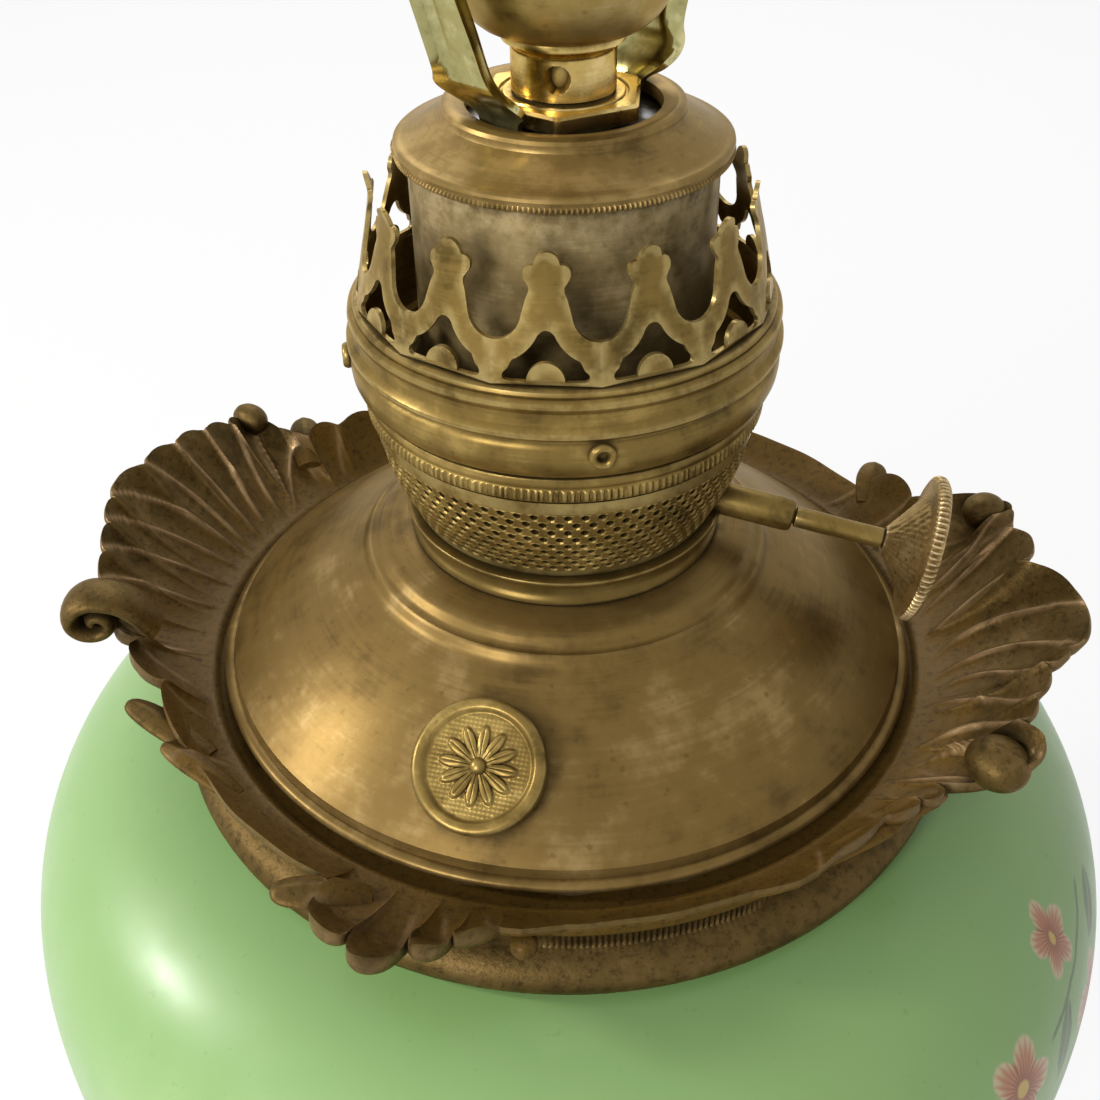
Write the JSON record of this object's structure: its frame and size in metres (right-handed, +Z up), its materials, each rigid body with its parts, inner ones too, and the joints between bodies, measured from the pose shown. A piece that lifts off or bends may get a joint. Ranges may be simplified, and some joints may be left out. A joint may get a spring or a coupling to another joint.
{
  "type": "electrified oil lamp",
  "caption": "Parlour oil lamp wired for electricity: squat green glass body, cast shell collar, brass font and burner with pierced coronet, lamp socket and harp above",
  "frame": {"origin": "centre of the underside, on the table under the lamp's axis", "axes": "+Z up along the lamp's axis; -Y faces the picture's camera; +X is the side of the wick winder"},
  "size_m": [0.2208, 0.2208, 0.5012],
  "materials": {
    "aged_brass": "aged, brown-gold, satin",
    "burner_brass": "aged olive gold, satin",
    "dark_casting": "cast, dark brown patina with copper-toned worn ridges",
    "tarnished_sleeve": "grey-brown tarnish, brushed",
    "polished_brass": "bright polished",
    "green_glass": "opaque light green, glossy, painted flowers",
    "plain_steel": "plain",
    "black_moulding": "moulded",
    "pale_fibre": "insulating paper tube",
    "white_plaster": "plaster cement",
    "cork_ring": "cork",
    "cast_porcelain": "insulating ceramic"
  },
  "bodies": {
    "base": {"foot_casting": "dark_casting", "foot_cup": "aged_brass", "cord_bushing": "black_moulding", "base_pipe": "plain_steel", "foot_washer": "plain_steel", "foot_nut": "plain_steel", "glass_body": "green_glass", "glass_washer": "plain_steel", "glass_nut": "plain_steel", "plaster_ring": "white_plaster", "collar": "dark_casting"},
    "font": {"font_bowl": "aged_brass", "font_dome": "aged_brass", "draft_tube": "aged_brass", "filler_bush": "aged_brass", "burner_neck": "burner_brass", "air_basket": "burner_brass", "milled_band": "burner_brass", "wick_tube": "burner_brass", "winder_housing": "burner_brass"},
    "winder": {"winder_shaft": "burner_brass", "wick_pinion": "burner_brass", "thumbwheel": "aged_brass"},
    "cap_seal": {"filler_gasket": "cork_ring"},
    "filler_cap": {"filler_cap": "burner_brass"},
    "gallery": {"gallery_ring": "burner_brass", "coronet": "burner_brass", "gallery_rivet_front": "burner_brass", "gallery_rivet_right": "burner_brass", "gallery_rivet_back": "burner_brass", "gallery_rivet_left": "burner_brass"},
    "adapter": {"adapter_sleeve": "tarnished_sleeve", "adapter_cap": "aged_brass", "hex_plate": "polished_brass", "lamp_nipple": "plain_steel", "lower_washer": "plain_steel", "lower_locknut": "plain_steel", "harp_saddle": "polished_brass", "socket_cap": "polished_brass", "socket_shell": "polished_brass", "socket_liner": "pale_fibre", "socket_body": "cast_porcelain", "screw_shell": "polished_brass", "centre_contact": "polished_brass"},
    "switch": {"switch_stem": "plain_steel", "switch_key": "black_moulding"},
    "harp": {"harp": "polished_brass"},
    "ferrule_back": {"harp_ferrule_back": "polished_brass"},
    "ferrule_front": {"harp_ferrule_front": "polished_brass"},
    "shade_washer": {"shade_washer": "polished_brass"},
    "finial": {"finial": "polished_brass"}
  },
  "joints": [
    {"name": "font_lift", "type": "slide", "parent": "base", "child": "font", "axis": [0, 0, 1], "range_m": [0, 0.11]},
    {"name": "wick_winder", "type": "hinge", "parent": "font", "child": "winder", "pos_m": [0.02826, -0.00652, 0.225], "axis": [0.9618, -0.2221, -0.1599], "continuous": true},
    {"name": "cap_rise", "type": "slide", "parent": "font", "child": "cap_seal", "axis": [-0.1584, -0.5711, 0.8055], "range_m": [0, 0.0041]},
    {"name": "cap_unscrew", "type": "hinge", "parent": "cap_seal", "child": "filler_cap", "pos_m": [-0.01379, -0.04972, 0.20408], "axis": [-0.1584, -0.5711, 0.8055], "range_deg": [0, 720]},
    {"name": "gallery_twist", "type": "hinge", "parent": "font", "child": "gallery", "pos_m": [0, 0, 0.2485], "axis": [0, 0, 1], "range_deg": [0, 25]},
    {"name": "adapter_lift", "type": "slide", "parent": "gallery", "child": "adapter", "axis": [0, 0, 1], "range_m": [0, 0.045]},
    {"name": "switch_turn", "type": "hinge", "parent": "adapter", "child": "switch", "pos_m": [0.01414, -0.01414, 0.3265], "axis": [0.7071, -0.7071, 0], "continuous": true},
    {"name": "harp_lift", "type": "slide", "parent": "adapter", "child": "harp", "axis": [0, 0, 1], "range_m": [0, 0.02]},
    {"name": "ferrule_back_slide", "type": "slide", "parent": "harp", "child": "ferrule_back", "axis": [0, 0, 1], "range_m": [0, 0.008]},
    {"name": "ferrule_front_slide", "type": "slide", "parent": "harp", "child": "ferrule_front", "axis": [0, 0, 1], "range_m": [0, 0.008]},
    {"name": "washer_rise", "type": "slide", "parent": "harp", "child": "shade_washer", "axis": [0, 0, 1], "range_m": [0, 0.0041]},
    {"name": "finial_unscrew", "type": "hinge", "parent": "shade_washer", "child": "finial", "pos_m": [0, 0, 0.4821], "axis": [0, 0, 1], "range_deg": [0, 1440]}
  ],
  "couplings": [
    {"joint": "cap_rise", "follows": "cap_unscrew", "m_per_rad": 0.00031831},
    {"joint": "washer_rise", "follows": "finial_unscrew", "m_per_rad": 0.00015915}
  ]
}
